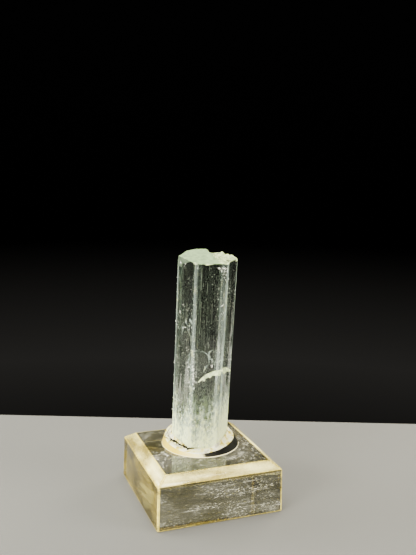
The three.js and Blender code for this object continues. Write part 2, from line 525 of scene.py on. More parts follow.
chips = (
    ((7.3, -1.3, 47.6), (1.0, 1.7, 1.2), 0.3, True),
    ((4.9, -3.0, 48.35), (2.0, 2.3, 0.9), 0.2, False),
    ((-0.92, -7.18, 48.6), (2.5, 1.5, 1.6), 0.12, True),
    ((-4.07, -5.53, 48.7), (1.5, 1.3, 1.3), 0.15, True),
    ((-7.12, -2.22, 30.5), (0.55, 0.5, 1.1), 0.2, True),
    ((7.38, -0.07, 18.2), (0.4, 0.5, 0.7), 0.2, True),
)


def makeChipCutter(centre, halfAxes, bumpiness, frosted):
    startFresh()
    bpy.ops.mesh.primitive_ico_sphere_add(subdivisions=4, radius=mm, location=Vector(centre) * mm)
    cutter = nameNew("chipCutter")
    cutter.scale = halfAxes
    applyPlace()
    displace(cutter, 2 * bumpiness * min(halfAxes), 0.55 * min(halfAxes), depth=3)
    cutter.data.materials.append(brokenMark if frosted else aquamarine)
    return cutter


def makeCrystal():
    draw = random.Random(11)
    startFresh()
    piece = addPrism()
    cutLevels(piece, draw)
    cutStriae(piece, draw)
    displace(piece, striae["sway"], striae["swayScale"])
    for material in (aquamarine, flatMark, brokenMark, cornerMark):
        piece.data.materials.append(material)
    cutEnd(piece, (0, 0, -crystal["footDepth"]), (0, 0, -1))
    for point, slope, heading in crystal["cornerFaces"]:
        tilt = math.radians(slope)
        cutEnd(piece, point, direction(heading) * math.sin(tilt) + Vector((0, 0, math.cos(tilt))), 3)
    cutAway(piece, makeTopCutter())
    for face in scar["faces"]:
        cutAway(piece, makeScarCutter(**face))
    for chip in chips:
        cutAway(piece, makeChipCutter(*chip))
    return piece


def hasMark(piece, mark):
    slots = [i for i, material in enumerate(piece.data.materials) if material == mark]
    return lambda f: f.material_index in slots


coats = {
    "air": 0.02,  # mm between a clear body and its coat, so that the body still bends light
    "frosted": 0.03,
    "etched": 0.012,
    "etchedFrom": 0.3,  # height up the crystal
    "endFrom": 40,  # a break above this height belongs to the end, and one below it to the ledge
}


def makeSkin(source, name, wanted, thickness, material):
    # a thin coat over the wanted faces of another piece
    pick(source)
    bpy.ops.object.duplicate()
    skin = nameNew(name)
    edit(skin)
    selectFaces(skin, lambda f: not wanted(f))
    bpy.ops.mesh.delete(type="FACE")
    leaveEdit()
    skin.data.materials.clear()
    skin.data.materials.append(material)
    applyModifier(skin, "DISPLACE", "air", strength=coats["air"] * mm, mid_level=0)
    applyModifier(skin, "SOLIDIFY", "coat", thickness=thickness * mm, offset=1.0)
    return skin


stone = {
    "refraction": 1.58,
    "tint": "#c2dedb",
    "density": 6.0,  # of the tint, for each metre of stone
    "ripple": 0.22,  # mm, across the faces' fine lines
    "frostPatches": 1.1,
    "frostPits": 0.25,
}


def makeAquamarine():
    # grown prism faces, never polished: clear water-green stone with a faint ripple in its shine
    material, add = newMaterial("aquamarinePrismFace")
    place = add("TexCoord").outputs["Object"]
    upright = add("Mapping", {"Rotation": crystalMatrix.to_euler(), "vector_type": "TEXTURE"}, {0: place})
    drawnOut = add("Mapping", {"Scale": (1, 1, 0.02)}, {0: upright})
    lines = add("TexNoise", {"Scale": 1 / (stone["ripple"] * mm), "Detail": 2.0}, {0: drawnOut})
    bump = add("Bump", {"Strength": 0.05, "Distance": 0.05 * mm}, {"Height": lines})
    shader = add("BsdfPrincipled", {
        "Base Color": hexColour("#fbfff8"),
        "Roughness": 0.03,
        "IOR": stone["refraction"],
        "Transmission Weight": 1.0,
    }, {"Normal": bump})
    tint = add("VolumeAbsorption", {"Color": hexColour(stone["tint"]), "Density": stone["density"]})
    add("OutputMaterial", None, {"Surface": shader, "Volume": tint})
    return material


def makeGrainy(name, tones, patches, relief, bumps, finish):
    # patches of tone over fine bumps
    material, add = newMaterial(name)
    place = add("TexCoord").outputs["Object"]
    field = add("TexNoise", patches, {0: place})
    tone = add("ValToRGB", None, {0: field})
    setRamp(tone, tones)
    pits = add("TexNoise", relief, {0: place})
    bump = add("Bump", bumps, {"Height": pits})
    shader = add("BsdfPrincipled", finish, {"Base Color": tone, "Normal": bump})
    add("OutputMaterial", None, {"Surface": shader})
    return material


def makeFrosted(name, light, dark, alpha, clear, shine, roughness):
    # etched and broken stone: a dry pale grain that hides the clear stone under it
    finish = {
        "Roughness": roughness,
        "IOR": stone["refraction"],
        "Transmission Weight": clear,
        "Specular IOR Level": shine,
        "Alpha": alpha,
    }
    patches = {"Scale": 1 / (stone["frostPatches"] * mm), "Detail": 5.0, "Roughness": 0.6}
    pits = {"Scale": 1 / (stone["frostPits"] * mm), "Detail": 4.0}
    bumps = {"Strength": 0.5, "Distance": 0.1 * mm}
    return makeGrainy(name, ((0.38, dark), (0.62, light)), patches, pits, bumps, finish)


aquamarine = makeAquamarine()


# healed cracks meet the faces in thin curved lines: centre and radius of each, mm

veils = (
    ((-5.5, -3.6, 30.5), 2.6),
    ((-5.9, -2.4, 27.2), 1.7),
    ((-5.2, -3.9, 34.0), 1.9),
    ((3.2, -6.2, 26.0), 2.2),
    ((1.6, -6.2, 31.5), 1.6),
    ((4.1, -5.2, 23.0), 1.5),
    ((-1.5, -6.0, 24.5), 3.1),
)


# marks on the prism faces: size in mm, how squeezed each way, detail, and where they start and are full
# real striations and pits go down to 0.02 mm and wouldn't show, so these are drawn coarser

etching = {
    "lines": (0.24, (1, 1, 0.018), 2.0, 0.52, 0.8),
    "fineLines": (0.11, (1, 1, 0.02), 2.0, 0.5, 0.8),
    "patches": (2.4, (1, 1, 0.4), 4.0, 0.4, 0.7),
    "specks": (0.3, (1, 1, 0.7), 4.0, 0.6, 0.68),
    "smudges": (0.67, (1, 1, 0.45), 5.0, 0.5, 0.85),
    "columns": (1.1, (1, 1, 0.03), 3.0, 0.3, 0.75),
    "mottling": (0.5, (1, 1, 0.55), 5.0, 0.36, 0.64),
}

# by direction round the axis: 0 and 1 the left corner, 1/6 and 1/3 the front ones, 1/2 the right one

etchedRings = {
    "share": ((0.0, 0.2), (0.05, 0.07), (0.14, 0.08), (0.152, 0.6), (0.166, 0.6), (0.174, 0.02),
              (0.298, 0.02), (0.31, 0.3), (0.342, 0.6), (0.37, 0.2), (0.47, 0.15), (0.505, 0.3),
              (0.52, 0.02), (0.97, 0.02), (1.0, 0.2)),
    "edges": ((0.0, 0.6), (0.006, 0.4), (0.012, 0.0), (0.15, 0.0), (0.153, 0.22), (0.167, 0.22),
              (0.175, 0.0), (0.3, 0.0), (0.31, 0.12), (0.329, 0.15), (0.334, 0.95), (0.341, 0.95),
              (0.349, 0.1), (0.36, 0.0), (0.49, 0.0), (0.495, 0.5), (0.505, 0.5), (0.51, 0.0),
              (0.66, 0.0), (0.668, 0.4), (0.675, 0.0), (0.83, 0.3), (0.84, 0.0), (0.99, 0.0), (1.0, 0.6)),
    "milky": ((0.0, 0.35), (0.15, 0.4), (0.18, 0.3), (0.31, 0.3), (0.345, 1.0), (0.5, 1.0), (0.6, 0.3),
              (1.0, 0.3)),
}


def addFields(add, marks, place):
    # one noise pattern for each row of a table of marks, from 0 where there is none to 1 where it is full
    fields = {}
    for name, (size, squeeze, detail, low, high) in marks.items():
        squeezed = add("Mapping", {"Scale": squeeze}, {0: place})
        field = add("TexNoise", {"Scale": 1 / (size * mm), "Detail": detail}, {0: squeezed})
        fields[name] = add("MapRange", {1: low, 2: high}, {0: field})
    return fields


def makeEtched():
    # growth striations, etch pits and dust on the prism faces: thin pale marks on clear stone
    material, add = newMaterial("etchedPrismFace")
    place = add("TexCoord").outputs["Object"]
    local = add("Mapping", {
        "Location": crystalMatrix.translation,
        "Rotation": crystalMatrix.to_euler(),
        "vector_type": "TEXTURE",
    }, {0: place})
    parts = add("SeparateXYZ", None, {0: local})
    angle = add("Math.ARCTAN2", None, {0: parts.outputs[1], 1: parts.outputs[0]})
    around = add("MapRange", {1: -math.pi, 2: math.pi}, {0: angle})
    fields = addFields(add, etching, local)
    for name, stops in etchedRings.items():
        fields[name] = add("ValToRGB", None, {0: around})
        setRamp(fields[name], tuple((at, (v, v, v, 1)) for at, v in stops))

    # striations and smudges, thicker in some patches and low on the crystal
    fine = add("Math.MULTIPLY", {1: 0.7}, {0: fields["fineLines"]})
    streaks = add("Math.MAXIMUM", None, {0: fields["lines"], 1: fine})
    marks = add("Math.MULTIPLY_ADD", {1: 0.7}, {0: fields["smudges"], 2: streaks})
    gathered = add("Math.ADD", {1: 0.15}, {0: fields["patches"]})
    marks = add("Math.MULTIPLY", None, {0: marks, 1: gathered})
    height = add("MapRange", {1: 45 * mm, 2: 16 * mm, 3: 0.25, 4: 0.8}, {0: parts.outputs[2]})
    share = add("Math.MULTIPLY", None, {0: fields["share"], 1: height})
    marks = add("Math.MULTIPLY", None, {0: marks, 1: share})

    # pale specks, then the prism's edges, which are worn and catch the light
    dotShare = add("Math.ADD", {1: 0.1}, {0: share})
    dots = add("Math.MULTIPLY", None, {0: fields["specks"], 1: dotShare})
    amount = add("Math.MULTIPLY_ADD", None, {0: dots, 1: gathered, 2: marks})
    wear = add("Math.MULTIPLY_ADD", {1: 0.6}, {0: streaks, 2: fields["columns"]})
    amount = add("Math.MULTIPLY_ADD", None, {0: fields["edges"], 1: wear, 2: amount})

    # the milky foot rises in ragged columns
    milk = add("MapRange", {1: 19 * mm, 2: 0.0}, {0: parts.outputs[2]})
    rise = add("Math.MULTIPLY_ADD", {1: 0.7}, {0: fields["columns"], 2: milk})
    deeper = add("Math.MULTIPLY", None, {0: fields["milky"], 1: milk})
    rise = add("Math.ADD", None, {0: rise, 1: deeper})
    mottled = add("Math.MULTIPLY_ADD", {1: 0.45}, {0: fields["mottling"], 2: rise})
    foot = add("MapRange", {1: 1.05, 2: 1.8, 4: 0.86}, {0: mottled})
    amount = add("Math.ADD", None, {0: amount, 1: foot})

    # healed cracks show as thin ragged rings
    ragged = add("TexNoise", {"Scale": 1 / (2 * mm), "Detail": 4.0}, {0: local})
    shift = add("VectorMath.SCALE", {"Scale": 2.2 * mm}, {0: ragged.outputs[1]})
    bent = add("VectorMath.ADD", None, {0: local, 1: shift})
    for centre, radius in veils:
        away = add("VectorMath.DISTANCE", {1: Vector(centre) * mm}, {0: bent})
        ring = add("Math.SUBTRACT", {1: radius * mm}, {0: away.outputs[1]})
        off = add("Math.ABSOLUTE", None, {0: ring})
        line = add("MapRange", {1: 0.16 * mm, 2: 0.0, 4: 0.6}, {0: off})
        amount = add("Math.MULTIPLY_ADD", None, {0: line, 1: fields["patches"], 2: amount})
    alpha = add("Math.MINIMUM", {1: 0.94}, {0: amount})
    pale = add("Math.MULTIPLY_ADD", {1: 0.6}, {0: foot, 2: fields["smudges"]})
    tone = add("ValToRGB", None, {0: pale})
    setRamp(tone, ((0.1, "#b6c8ba"), (0.6, "#f2fabc")))
    finish = {"Roughness": 0.35, "IOR": stone["refraction"], "Specular IOR Level": 0.3}
    shader = add("BsdfPrincipled", finish, {"Base Color": tone, "Alpha": alpha})
    add("OutputMaterial", None, {"Surface": shader})
    return material


# these only mark the cut faces, so that each kind gets its own coat

flatMark = bpy.data.materials.new("flatMark")
brokenMark = bpy.data.materials.new("brokenMark")
cornerMark = bpy.data.materials.new("cornerMark")
frostedEnd = makeFrosted("frostedEndFace", "#a7c28c", "#7f986e", 1.0, 0.3, 0.5, 0.42)
cornerGrey = makeFrosted("dullCornerFacet", "#57624f", "#454f40", 0.94, 0.0, 0.0, 0.8)
brightBreak = makeFrosted("conchoidalBreak", "#dcebaa", "#8a9c6a", 1.0, 0.3, 0.5, 0.42)
sugaryLedge = makeFrosted("sugaryLedgeBreak", "#f3ffc4", "#9db07c", 1.0, 0.0, 0.5, 0.42)
etchedFace = makeEtched()
crystalPiece = makeCrystal()
print("crystal cut", len(crystalPiece.data.polygons))


def onFace(f):
    return hasMark(crystalPiece, aquamarine)(f) and f.calc_center_median().z > coats["etchedFrom"] * mm


def onBrokenEnd(f):
    return hasMark(crystalPiece, brokenMark)(f) and f.calc_center_median().z > coats["endFrom"] * mm


def onLedge(f):
    return hasMark(crystalPiece, brokenMark)(f) and f.calc_center_median().z <= coats["endFrom"] * mm


skins = [
    makeSkin(crystalPiece, "frostedEnd", hasMark(crystalPiece, flatMark), coats["frosted"], frostedEnd),
    makeSkin(crystalPiece, "cornerFacets", hasMark(crystalPiece, cornerMark), coats["frosted"], cornerGrey),
    makeSkin(crystalPiece, "brokenEnd", onBrokenEnd, coats["frosted"], brightBreak),
    makeSkin(crystalPiece, "ledge", onLedge, coats["frosted"], sugaryLedge),
    makeSkin(crystalPiece, "etchedFaces", onFace, coats["etched"], etchedFace),
]
edit(crystalPiece)
selectAll()
assignSlot(crystalPiece, 0)
while len(crystalPiece.data.materials) > 1:
    crystalPiece.data.materials.pop(index=1)
pick(crystalPiece)
bpy.ops.object.shade_smooth_by_angle(angle=math.radians(12))
print("skins made")


def inPrism(x, y, margin):
    return all(direction(60 * i + 30).dot(Vector((x, y, 0))) < toFace - margin for i in range(6))


def addTetra():
    startFresh()
    bpy.ops.mesh.primitive_cone_add(vertices=3, radius1=1, depth=1.3)
    return nameNew("grainPattern")


def addNeedle():
    startFresh()
    bpy.ops.mesh.primitive_cylinder_add(vertices=3, radius=1, depth=1)
    return nameNew("needlePattern")


def anyTurn(draw):
    axis = Vector((draw.gauss(0, 1), draw.gauss(0, 1), draw.gauss(0, 1))).normalized()
    return Matrix.Rotation(draw.uniform(0, 2 * math.pi), 3, axis).to_quaternion()


def makeFlatTone(name, colour):
    # one plain tone: for the grains and hair-thin tubes caught as the stone grew, which together make the
    # clear stone look misty, and for the flecks with their painted glints and the painted shade in the
    # glue's cracks
    material, add = newMaterial(name)
    shader = add("BsdfPrincipled", {
        "Base Color": hexColour(colour),
        "Roughness": 0.5,
        "IOR": 1.2,  # the stone's against that of the fluid in it
        "Transmission Weight": 0.0,
    })
    add("OutputMaterial", None, {"Surface": shader})
    return material


inclusions = {
    "reach": 7,  # mm from the axis each way, before the prism's faces bound them
    "grains": {"seed": 21, "count": 7000, "heights": (0.3, 47.3), "margin": 0.25, "size": (0.018, 0.06),
               "stretch": (1, 1, 2.5)},
    "cloud": {"seed": 22, "count": 14000, "heights": (0.1, 14), "margin": 0.2, "size": (0.02, 0.055)},
    "cloudFades": 3.6,
    "tubes": 260,
    "tubeMargin": 0.2,
    "tubeRadius": (0.012, 0.03),
    "tubeLength": (0.8, 9.0),
    "tubeBottom": 0.4,
    "tubeSpan": 46.4,
}


def wisp(x, y, z, seed):
    # drawn-out clouds, with smaller ones over them
    wide = noise.noise(Vector((x / 1.6 + seed, y / 1.6, z / 5.5)))
    return wide + 0.5 * noise.noise(Vector((x, y + seed, z / 2)))


def grainShare(x, y, z):
    return (0.03 + 0.97 * (1 - z / 48) ** 1.6) * max(0.03, min(1, 0.35 + 1.6 * wisp(x, y, z, 3)))


def cloudShare(x, y, z):
    return math.exp(-z / inclusions["cloudFades"]) * max(0.15, min(1, 0.7 + wisp(x, y, z * 0.6, 9)))


def makeMist(name, share, seed, count, heights, margin, size, stretch=None):
    # grains scattered through the stone, kept where share(x, y, z) is high
    draw = random.Random(seed)
    reach = inclusions["reach"]
    places = []
    while len(places) < count:
        x, y, z = draw.uniform(-reach, reach), draw.uniform(-reach, reach), draw.uniform(*heights)
        if not inPrism(x, y, margin) or draw.random() > share(x, y, z):
            continue
        grain = draw.uniform(*size) * mm
        grainHeight = grain * draw.choice(stretch) if stretch else grain
        centre = Vector((x, y, z)) * mm
        places.append(Matrix.LocRotScale(centre, anyTurn(draw), Vector((grain, grain, grainHeight))))
    return joinCopies(name, addTetra(), places, whiteInclusion)


def makeTubes():
    # hollow growth tubes, upright and more of them near the faces
    draw = random.Random(23)
    reach = inclusions["reach"]
    places = []
    while len(places) < inclusions["tubes"]:
        x, y = draw.uniform(-reach, reach), draw.uniform(-reach, reach)
        if not inPrism(x, y, inclusions["tubeMargin"]):
            continue
        if draw.random() > 0.25 + 0.75 * ((x * x + y * y) / 40):
            continue
        length = draw.uniform(*inclusions["tubeLength"]) * draw.random()
        spare = inclusions["tubeSpan"] - length
        z = inclusions["tubeBottom"] + spare * draw.random() ** 1.35 + length / 2
        radius = draw.uniform(*inclusions["tubeRadius"]) * mm
        centre = Vector((x, y, z)) * mm
        places.append(Matrix.LocRotScale(centre, None, Vector((radius, radius, length * mm))))
    return joinCopies("growthTubes", addNeedle(), places, whiteInclusion)


flecks = {
    "size": (0.05, 0.15),  # mm
    "proud": 0.06,
    "heights": (0.6, 46.8),
    "halfWidths": (3.0, 3.0, 3.0, 3.45, 3.45, 3.0),  # how far across each face they reach
    "scarHeights": (22, 34),  # where faces 4 and 5 are hollowed, and how deep
    "scarDepth": 0.35,
    "clusters": (  # face, across it and up the crystal, spread both ways, how many
        (4, -3.2, 22.6, 0.7, 2.6, 90),
        (4, -3.5, 19.0, 0.5, 1.6, 30),
        (3, 2.2, 20.5, 1.1, 2.6, 40),
        (4, 3.3, 26.5, 0.35, 0.5, 30),
        (4, 0.9, 22.3, 0.12, 0.2, 12),
        (4, 2.6, 46.2, 0.5, 0.9, 40),
        (4, -0.5, 3.0, 3.0, 3.5, 70),
        (3, 0.0, 12.0, 3.2, 8.0, 60),
        (5, 0.0, 24.0, 2.4, 12.0, 70),
        (4, 0.5, 38.0, 2.6, 7.0, 70),
        (3, 0.0, 34.0, 2.6, 9.0, 60),
        (0, 0.0, 26.0, 3.0, 14.0, 50),
        (1, 0.0, 26.0, 3.0, 14.0, 50),
        (2, 0.0, 26.0, 3.0, 14.0, 50),
    ),
}


def makeFlecks():
    # tiny bright white flecks on the faces, gathered where the surface is bruised: partly grit, partly
    # painted glints
    draw = random.Random(24)
    lowest, highest = flecks["heights"]
    scarLow, scarHigh = flecks["scarHeights"]
    places = []
    for face, middle, height, spreadAcross, spreadUp, count in flecks["clusters"]:
        outward, across = faceAxes(face)
        limit = flecks["halfWidths"][face]
        for _ in range(count):
            u = min(limit, max(-limit, draw.gauss(middle, spreadAcross)))
            w = min(highest, max(lowest, draw.gauss(height, spreadUp)))
            hollowed = face in (4, 5) and scarLow < w < scarHigh
            out = toFace + flecks["proud"] - (flecks["scarDepth"] if hollowed else 0)
            size = draw.uniform(*flecks["size"]) * draw.choice((0.6, 1, 1)) * mm
            stretch = Vector((size, size * 0.7, size * draw.choice((0.8, 1.6, 3))))
            centre = (outward * out + across * u + Vector((0, 0, w))) * mm
            places.append(Matrix.LocRotScale(centre, anyTurn(draw), stretch))
    return joinCopies("surfaceFlecks", addTetra(), places, gritAndGlint)


whiteInclusion = makeFlatTone("fluidInclusion", "#f7faec")
# near-white flecks: painted glints along with the grit
gritAndGlint = makeFlatTone("gritAndPaintedGlint", "#fffff2")
inner = [
    makeMist("inclusionGrains", grainShare, **inclusions["grains"]),
    makeMist("footCloud", cloudShare, **inclusions["cloud"]),
    makeTubes(),
    makeFlecks(),
]
print("inclusions made")

for piece in (crystalPiece, *skins, *inner):
    settle(piece)
    hand(piece, "aquamarine", *(["aquamarine_crystal"] if piece == crystalPiece else []))


# the pad of glue starts at the crystal's outline and ends in a round rim, square to the crystal

pad = {
    "rings": (  # mm: mean distance from the axis, how round the ring is and its height
        (6.72, 0.0, 1.0),
        (6.95, 0.1, 0.55),
        (7.25, 0.35, 0.26),
        (7.8, 0.8, 0.12),
        (8.4, 1.0, 0.06),
        (8.72, 1.0, 0.0),
        (8.85, 1.0, -0.12),
    ),
    "creep": (  # degrees round the axis, and how high the glue has crept there
        (0, 1.0), (60, 0.9), (120, 1.1), (180, 1.1), (200, 0.65), (225, 0.45), (240, 0.45), (252, 0.1),
        (268, 0.02), (287, 0.1), (296, 1.1), (301, 1.5), (312, 1.2), (330, 0.9), (360, 1.0),
    ),
    "creepFrom": 0.1,
    "floorHeight": -0.02,
    "centre": (0.93, 2.23),
    "slumpAt": 304,  # degrees round the axis
    "slumpHalf": 46,
    "slump": 0.8,
    "slumpReach": 7.3,  # points nearer the axis than this stay
    "slumpCrowding": 0.6,
    "slumpGap": 0.1,
    "bottomRadius": 9.8,
    "bottom": 12.47,
    "unevenness": 0.2,
    "unevenScale": 1.6,
    "refraction": 1.48,
    "swirls": 1.5,  # mm
    "ripples": 1.1,
}


def meanRadius(piece):
    mesh = bmesh.from_edit_mesh(piece.data)
    chosen = [v.co.xy.length for v in mesh.verts if v.select]
    return sum(chosen) / len(chosen)


def spread(piece, radius, roundness=0.0):
    if roundness:
        bpy.ops.transform.tosphere(value=roundness)
    resizeLevel(radius * mm / meanRadius(piece))


def creep(angle):
    # how high the glue has crept up the crystal in this direction, mm
    stops = pad["creep"]
    for (a, low), (b, high) in zip(stops, stops[1:]):
        if a <= angle <= b:
            return low + (high - low) * (angle - a) / (b - a)


def outlineRadius(angle):
    # distance from the axis to the prism's side in this direction
    return toFace / math.cos(math.radians(angle % 60 - 30))


def rimRadius(angle):
    # the rim draws in towards the crystal where the glue slumps away on the right
    away = min(1, abs(angle - pad["slumpAt"]) / pad["slumpHalf"])
    return pad["rings"][-1][0] - pad["slump"] * math.cos(away * math.pi / 2)


def makePad():
    startFresh()
    radius, _, height = pad["rings"][0]
    bpy.ops.mesh.primitive_circle_add(vertices=6, radius=radius * mm, fill_type="NGON",
                                      location=(0, 0, height * mm), rotation=(0, 0, math.radians(30)))
    piece = nameNew("gluePad")
    applyPlace()
    edit(piece, "EDGE")
    selectAll()
    bpy.ops.mesh.subdivide(number_cuts=15)
    selectAll()
    bpy.ops.mesh.delete(type="ONLY_FACE")
    selectAll()
    spread(piece, radius)
    for radius, roundness, nextHeight in pad["rings"][1:]:
        step = (nextHeight - height) * mm
        bpy.ops.mesh.extrude_edges_move(TRANSFORM_OT_translate={"value": (0, 0, step)})
        spread(piece, radius, roundness)
        height = nextHeight
    leaveEdit()
    top, rim = pad["rings"][0][2], pad["rings"][-1][0]
    for vertex in piece.data.vertices:
        share = min(1, max(0, vertex.co.z / mm - pad["creepFrom"]) / (top - pad["creepFrom"]))
        angle = math.degrees(math.atan2(vertex.co.y, vertex.co.x)) % 360
        vertex.co.z += (creep(angle) - 1) * share * mm
        reach = vertex.co.xy.length / mm
        limit = rimRadius(angle) - pad["slumpCrowding"] * max(0, rim - reach)
        if reach > pad["slumpReach"] and limit < reach:
            vertex.co.xy *= max(limit, outlineRadius(angle) + pad["slumpGap"]) / reach
    settle(piece)
    edit(piece, "EDGE")
    selectEdges(piece, outerLoop(piece))
    centre = Vector((*pad["centre"], pad["bottom"])) * mm
    bpy.ops.mesh.extrude_edges_move()
    bpy.ops.transform.resize(value=(1, 1, 0), center_override=centre)
    mesh = bmesh.from_edit_mesh(piece.data)
    for vertex in mesh.verts:
        if vertex.select:
            out = vertex.co.xy - centre.xy
            vertex.co.xy = centre.xy + out * (pad["bottomRadius"] * mm / out.length)
    bmesh.update_edit_mesh(piece.data)
    bpy.ops.mesh.edge_face_add()
    bpy.ops.mesh.select_all(action="DESELECT")
    bpy.ops.mesh.select_non_manifold()
    down = Vector((0, 0, (pad["floorHeight"] - pad["rings"][0][2]) * mm))
    bpy.ops.mesh.extrude_edges_move(TRANSFORM_OT_translate={"value": crystalMatrix.to_3x3() @ down})
    bpy.ops.mesh.edge_face_add()
    selectAll()
    bpy.ops.mesh.normals_make_consistent(inside=False)
    leaveEdit()
    return piece


def outerLoop(piece):
    # a test for the edges that bound the mesh on the outside, which lie lower than those at the crystal
    mesh = bmesh.from_edit_mesh(piece.data)
    rimHeight = (pad["rings"][-1][2] + 0.05) * mm
    wanted = set()
    for edge in mesh.edges:
        if edge.is_boundary and all((toCrystal @ v.co).z < rimHeight for v in edge.verts):
            wanted.add((edge.verts[0].co.to_tuple(6), edge.verts[1].co.to_tuple(6)))
    return lambda a, b: (a.to_tuple(6), b.to_tuple(6)) in wanted


def makeGlue():
    # poured glue that set cloudy: cream swirls and yellow patches under a wet shine
    return makeGrainy(
        "milkyGlue",
        ((0.36, "#cdb63c"), (0.45, "#fdf2a0"), (0.56, "#fffde0"), (0.68, "#c4bd9a")),
        {"Scale": 1 / (pad["swirls"] * mm), "Detail": 5.0},
        {"Scale": 1 / (pad["ripples"] * mm), "Detail": 2.0},
        {"Strength": 0.35, "Distance": 0.3 * mm},
        {"Roughness": 0.16, "IOR": pad["refraction"], "Transmission Weight": 0.25},
    )


def makeGlueWallPaintedLight():
    # clear yellowed glue, what shows through it painted into its colour: a painted golden glow on the left,
    # painted dark in front on the right, dull gold behind, and a painted highlight line along its foot
    material, add = newMaterial("clearGlueWallPaintedLight")
    place = add("TexCoord").outputs["Object"]
    parts = add("SeparateXYZ", None, {0: place})
    side = add("MapRange", {1: -9 * mm, 2: 9 * mm}, {0: parts.outputs[0]})
    # painted light across the wall: a golden glow on the left and dark refraction on the right
    tone = add("ValToRGB", None, {0: side})
    setRamp(tone, ((0.1, "#cfb32c"), (0.34, "#efe294"), (0.4, "#e2d9a4"), (0.45, "#1d1b14"),
                   (0.7, "#0c0c09"), (0.9, "#1c1c18")))
    # a painted highlight line along the wall's foot
    lip = add("MapRange", {1: 12.57 * mm, 2: 12.53 * mm}, {0: parts.outputs[2]})
    # dull gold towards the back
    back = add("MapRange", {1: 1 * mm, 2: 7 * mm}, {0: parts.outputs[1]})
    wall = add("Mix", {"data_type": "RGBA", 7: hexColour("#a08a45")}, {0: back, 6: tone})
    withFootHighlight = add("Mix", {"data_type": "RGBA", 7: hexColour("#fff3c0")}, {0: lip, 6: wall.outputs[2]})
    finish = {"Roughness": 0.3, "IOR": pad["refraction"], "Specular IOR Level": 0.15}
    shader = add("BsdfPrincipled", finish, {"Base Color": withFootHighlight.outputs[2]})
    add("OutputMaterial", None, {"Surface": shader})
    return material


glue = makeGlue()
paintedGlueWall = makeGlueWallPaintedLight()
padPiece = makePad()
padPiece.data.materials.append(glue)
padPiece.data.materials.append(paintedGlueWall)
edit(padPiece)


def isWall(f):
    # beyond the rim, and not the underside
    centre = toCrystal @ f.calc_center_median()
    angle = math.degrees(math.atan2(centre.y, centre.x)) % 360
    return centre.xy.length / mm > rimRadius(angle) + 0.08 and f.normal.z > -0.5


selectFaces(padPiece, isWall)
assignSlot(padPiece, 1)
displace(padPiece, pad["unevenness"], pad["unevenScale"])
pick(padPiece)
bpy.ops.object.shade_smooth_by_angle(angle=math.radians(50))
hand(padPiece, "mounting_glue", "glue_pad")


# dark slivers wind round the crystal's foot where the glue has let go: painted shade for the gaps, which
# show dark

cracks = {
    "step": 0.16,  # mm
    "lift": 0.12,
    "overlap": 1.15,
    "nearest": 0.1,
    "bend": 2.4,  # degrees round for one swing
    "swing": 2.4,
    "runs": (  # from and to in degrees round the axis, mm out at both, how far it wanders, half its width
        (190, 214, 1.35, 1.0, 0.3, 0.24),
        (200, 226, 0.8, 1.1, 0.35, 0.17),
        (216, 251, 0.95, 0.3, 0.3, 0.26),
        (224, 262, 0.5, 0.1, 0.25, 0.1),
        (176, 200, 0.9, 1.2, 0.3, 0.09),
        (142, 204, 1.75, 1.7, 0.12, 0.07),
        (206, 232, 1.9, 1.5, 0.15, 0.06),
        (130, 172, 0.5, 0.7, 0.3, 0.1),
        (10, 48, 0.45, 0.5, 0.3, 0.08),
    ),
}


def onPad(x, y):
    # the point of the pad's top above or below this place, mm in the crystal's own frame
    down = (crystalMatrix.to_3x3() @ Vector((0, 0, -1))).normalized()
    hit, place, _, _ = padPiece.ray_cast(crystalMatrix @ Vector((x * mm, y * mm, 3 * mm)), down)
    return place if hit else None


def makeCrackShade():
    draw = random.Random(31)
    places = []
    for number, (start, end, near, far, wander, half) in enumerate(cracks["runs"]):
        angle = start
        last = None
        while angle < end:
            bend = noise.noise(Vector((angle / cracks["bend"], number * 7, 0)))
            swing = wander * bend * cracks["swing"]
            along = (angle - start) / (end - start)
            radius = outlineRadius(angle) + max(cracks["nearest"], near + (far - near) * along + swing)
            turned = direction(angle) * radius
            point = onPad(turned.x, turned.y)
            if last is not None and point is not None:
                run = point - last
                taper = math.sqrt(max(0.1, math.sin(math.pi * along)))
                thick = half * draw.uniform(0.6, 1.0) * taper * mm
                turn = run.to_track_quat("Z", "Y")
                centre = (point + last) / 2 + Vector((0, 0, cracks["lift"] * mm))
                size = Vector((thick, thick, run.length * cracks["overlap"]))
                places.append(Matrix.LocRotScale(centre, turn, size))
            last = point
            angle += math.degrees(cracks["step"] / radius)
    return joinCopies("glueCrackShade", addNeedle(), places, crackShadow)


# near black: painted shade in the gaps
crackShadow = makeFlatTone("openCrackShadow", "#12110c")
hand(makeCrackShade(), "mounting_glue")
print("pad made", [round(v / mm, 2) for v in padPiece.dimensions])


block = {
    "width": 31.63,
    "foot": 0.06,  # mm, the coats on its edges come down to the surface it stands on
    "height": 12.48,
    "draft": 1.0,  # degrees
    "bevelRun": 2.5,
    "bevelDrop": 1.8,
    "cornerRadius": 0.4,
    "edgeRound": 0.28,
    "coat": 0.03,
    "refraction": 1.49,
    "tint": "#e6e05a",
    "density": 24.0,  # of the tint, for each metre of acrylic
}


